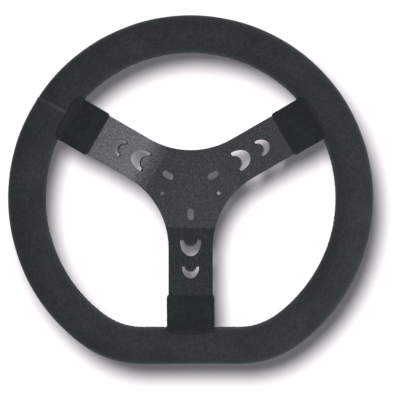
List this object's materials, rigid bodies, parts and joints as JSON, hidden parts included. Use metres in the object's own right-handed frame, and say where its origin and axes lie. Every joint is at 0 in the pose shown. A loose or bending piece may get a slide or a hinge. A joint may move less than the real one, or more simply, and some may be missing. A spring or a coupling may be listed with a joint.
{
  "type": "kart steering wheel",
  "caption": "Three-spoke flat-bottom kart steering wheel: a dished, pierced black plate riveted inside a padded, suede-covered rim, with suede sleeves over the spoke ends.",
  "frame": {"origin": "centre of the circle of the three bolt slots, on the hub's back face", "axes": "+Y out of the hub's back face, away from the driver; +Z to the top of the wheel, away from the flat; +X to the driver's right"},
  "size_m": [0.33, 0.0361, 0.3156],
  "materials": {
    "plate_coat": "satin black powder coat with a fine grain",
    "hoop_steel": "drawn tube, bare",
    "rivet_alloy": "flush heads, as formed",
    "grip_foam": "moulded polyurethane foam",
    "grip_suede": "charcoal suede, brushed nap",
    "sleeve_suede": "black suede, short nap",
    "sewing_thread": "waxed black thread"
  },
  "bodies": {
    "root": {"spoke_plate": "plate_coat", "rim_hoop": "hoop_steel", "hoop_joint_spigot": "hoop_steel", "spoke_tab_left": "hoop_steel", "spoke_tab_right": "hoop_steel", "spoke_tab_bottom": "hoop_steel", "spoke_rivets_left": "rivet_alloy", "spoke_rivets_right": "rivet_alloy", "spoke_rivets_bottom": "rivet_alloy", "rim_padding": "grip_foam", "rim_cover": "grip_suede", "cover_seam_thread": "sewing_thread", "rim_lacing_top": "sewing_thread", "rim_lacing_left": "sewing_thread", "rim_lacing_right": "sewing_thread", "spoke_wrap_left": "sleeve_suede", "spoke_wrap_right": "sleeve_suede", "spoke_wrap_bottom": "sleeve_suede", "wrap_stitching_left": "sewing_thread", "wrap_stitching_right": "sewing_thread", "wrap_stitching_bottom": "sewing_thread"}
  },
  "joints": []
}
